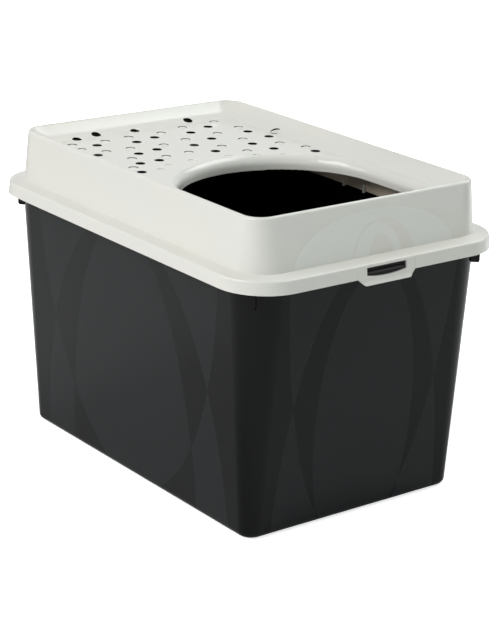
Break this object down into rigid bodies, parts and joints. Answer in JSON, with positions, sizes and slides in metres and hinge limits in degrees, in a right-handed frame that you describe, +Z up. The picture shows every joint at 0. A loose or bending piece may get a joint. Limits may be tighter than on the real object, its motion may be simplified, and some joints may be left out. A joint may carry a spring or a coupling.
{
  "type": "top entry litter box",
  "caption": "Top entry litter box: a tapered tub with a rim flange and a lift-off lid with a sunk vented deck, a rolled entry opening and sprung end latches.",
  "frame": {"origin": "middle of the footprint, on the floor that the tub stands on", "axes": "+X towards the entry end, along the length; +Y across; +Z up"},
  "size_m": [0.579, 0.394, 0.4],
  "materials": {
    "tub_plastic": "glossy black polypropylene",
    "lid_plastic": "glossy warm white polypropylene"
  },
  "bodies": {
    "base": {"base_tub": "tub_plastic"},
    "lid": {"lid": "lid_plastic"},
    "front_latch": {"front_latch": "lid_plastic"},
    "rear_latch": {"rear_latch": "lid_plastic"}
  },
  "joints": [
    {"name": "lid_lift", "type": "slide", "parent": "base", "child": "lid", "axis": [0, 0, 1], "range_m": [0, 0.25]},
    {"name": "front_latch_flex", "type": "hinge", "parent": "lid", "child": "front_latch", "pos_m": [0.28431, 0, 0.3308], "axis": [0, -1, 0], "range_deg": [0, 12], "stiffness_Nm_per_rad": 1},
    {"name": "rear_latch_flex", "type": "hinge", "parent": "lid", "child": "rear_latch", "pos_m": [-0.28431, 0, 0.3308], "axis": [0, 1, 0], "range_deg": [0, 12], "stiffness_Nm_per_rad": 1}
  ]
}
